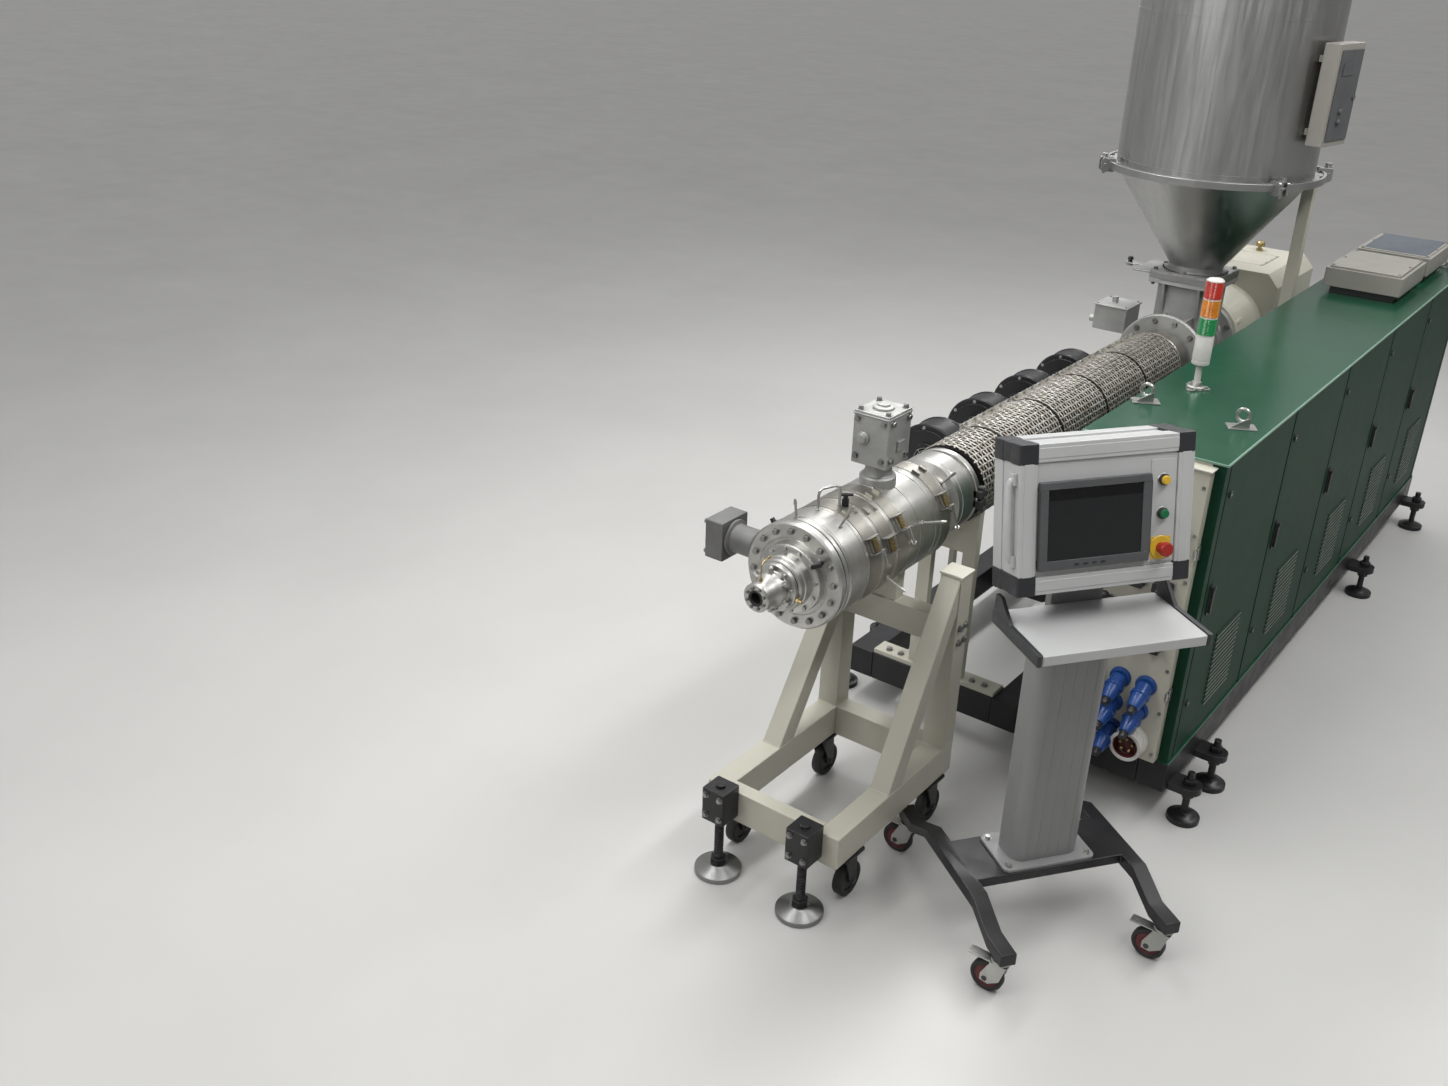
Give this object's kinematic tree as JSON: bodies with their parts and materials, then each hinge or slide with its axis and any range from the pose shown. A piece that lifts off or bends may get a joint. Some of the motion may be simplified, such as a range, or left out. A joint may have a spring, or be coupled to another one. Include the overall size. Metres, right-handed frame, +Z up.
{
  "type": "plastic extruder",
  "caption": "Single-screw plastic extruder: cabinet with hinged doors, air-cooled barrel, hopper with slide gate, die head on a stand, and a rolling operator console.",
  "frame": {"origin": "on the floor, under the middle of the machine's bounding box", "axes": "+X to the cabinet's door side, +Y along the extrusion axis from the nozzle to the gearbox, +Z up"},
  "size_m": [1.673, 4.594, 2.9933],
  "materials": {
    "dark_green": "satin enamel",
    "base_navy": "satin enamel",
    "black_cast": "semi-gloss",
    "cream_paint": "satin enamel",
    "grey_cast": "rough machined",
    "machined_steel": "turned",
    "stainless": "brushed",
    "cover_mesh": "perforated",
    "bright_zinc": "zinc plated",
    "silver_profile": "anodised",
    "motor_grey": "satin enamel",
    "blue_plastic": "moulded",
    "tower_plastic": "moulded",
    "dark_controls": "moulded",
    "wheel_maroon": "worn",
    "wheel_black": "worn"
  },
  "bodies": {
    "root": {"base_side_beams": "base_navy", "base_cross_beams": "base_navy", "machine_feet": "black_cast", "cabinet_roof": "dark_green", "cabinet_floor": "dark_green", "cabinet_walls": "dark_green", "cabinet_posts": "dark_green", "connector_panel": "cream_paint", "panel_sockets": "blue_plastic", "roof_fan_hoods": "cream_paint", "lifting_eyes": "bright_zinc", "signal_tower": "tower_plastic", "gearbox": "cream_paint", "bearing_housing": "cream_paint", "drive_motor": "motor_grey", "feed_throat": "grey_cast", "throat_box": "grey_cast", "barrel": "machined_steel", "barrel_support": "cream_paint", "zone_covers": "cover_mesh", "blowers": "black_cast", "gate_frame": "stainless", "hopper_cone": "stainless", "hopper_shell": "stainless", "hopper_lid": "stainless", "hopper_clamps": "stainless", "hopper_control_box": "grey_cast", "hopper_post": "cream_paint", "die_nozzle": "machined_steel", "die_face_plate": "machined_steel", "die_body": "machined_steel", "heater_bands": "bright_zinc", "barrel_clamp": "base_navy", "top_inlet_block": "grey_cast", "side_inlet_block": "grey_cast", "stand_rails": "cream_paint", "stand_cross_beams": "cream_paint", "stand_posts": "cream_paint", "stand_braces": "cream_paint", "stand_jacks": "black_cast", "stand_casters": "wheel_black", "console_base": "black_cast", "console_column": "silver_profile", "console_enclosure": "silver_profile", "console_controls": "dark_controls", "console_shelf": "silver_profile"},
    "door_1": {"door_1": "dark_green"},
    "door_2": {"door_2": "dark_green"},
    "door_3": {"door_3": "dark_green"},
    "door_4": {"door_4": "dark_green"},
    "door_5": {"door_5": "dark_green"},
    "slide_gate": {"slide_gate": "stainless"},
    "caster_fork_1": {"caster_fork_1": "bright_zinc"},
    "caster_fork_2": {"caster_fork_2": "bright_zinc"},
    "caster_fork_3": {"caster_fork_3": "bright_zinc"},
    "caster_fork_4": {"caster_fork_4": "bright_zinc"},
    "caster_wheel_1": {"caster_wheel_1": "wheel_maroon"},
    "caster_wheel_2": {"caster_wheel_2": "wheel_maroon"},
    "caster_wheel_3": {"caster_wheel_3": "wheel_maroon"},
    "caster_wheel_4": {"caster_wheel_4": "wheel_maroon"}
  },
  "joints": [
    {"name": "door_1_hinge", "type": "hinge", "parent": "root", "child": "door_1", "pos_m": [0.52884, -0.369, 0.76], "axis": [0, 0, 1], "range_deg": [0, 90]},
    {"name": "door_2_hinge", "type": "hinge", "parent": "root", "child": "door_2", "pos_m": [0.52884, 0.286, 0.76], "axis": [0, 0, 1], "range_deg": [0, 90]},
    {"name": "door_3_hinge", "type": "hinge", "parent": "root", "child": "door_3", "pos_m": [0.52884, 0.941, 0.76], "axis": [0, 0, 1], "range_deg": [0, 90]},
    {"name": "door_4_hinge", "type": "hinge", "parent": "root", "child": "door_4", "pos_m": [0.52884, 1.596, 0.76], "axis": [0, 0, 1], "range_deg": [0, 90]},
    {"name": "door_5_hinge", "type": "hinge", "parent": "root", "child": "door_5", "pos_m": [0.52884, 2.251, 0.76], "axis": [0, 0, 1], "range_deg": [0, 90]},
    {"name": "slide_gate_pull", "type": "slide", "parent": "root", "child": "slide_gate", "axis": [-1, 0, 0], "range_m": [0, 0.215]},
    {"name": "caster_1_swivel", "type": "hinge", "parent": "root", "child": "caster_fork_1", "pos_m": [0.48545, -2.14242, 0.12], "axis": [0, 0, 1], "continuous": true},
    {"name": "caster_1_roll", "type": "hinge", "parent": "caster_fork_1", "child": "caster_wheel_1", "pos_m": [0.44945, -2.14242, 0.05], "axis": [0, 1, 0], "continuous": true},
    {"name": "caster_2_swivel", "type": "hinge", "parent": "root", "child": "caster_fork_2", "pos_m": [0.79345, -1.7185, 0.12], "axis": [0, 0, 1], "continuous": true},
    {"name": "caster_2_roll", "type": "hinge", "parent": "caster_fork_2", "child": "caster_wheel_2", "pos_m": [0.75745, -1.7185, 0.05], "axis": [0, 1, 0], "continuous": true},
    {"name": "caster_3_swivel", "type": "hinge", "parent": "root", "child": "caster_fork_3", "pos_m": [-0.03717, -1.76271, 0.12], "axis": [0, 0, 1], "continuous": true},
    {"name": "caster_3_roll", "type": "hinge", "parent": "caster_fork_3", "child": "caster_wheel_3", "pos_m": [-0.07317, -1.76271, 0.05], "axis": [0, 1, 0], "continuous": true},
    {"name": "caster_4_swivel", "type": "hinge", "parent": "root", "child": "caster_fork_4", "pos_m": [0.27083, -1.33879, 0.12], "axis": [0, 0, 1], "continuous": true},
    {"name": "caster_4_roll", "type": "hinge", "parent": "caster_fork_4", "child": "caster_wheel_4", "pos_m": [0.23483, -1.33879, 0.05], "axis": [0, 1, 0], "continuous": true}
  ]
}
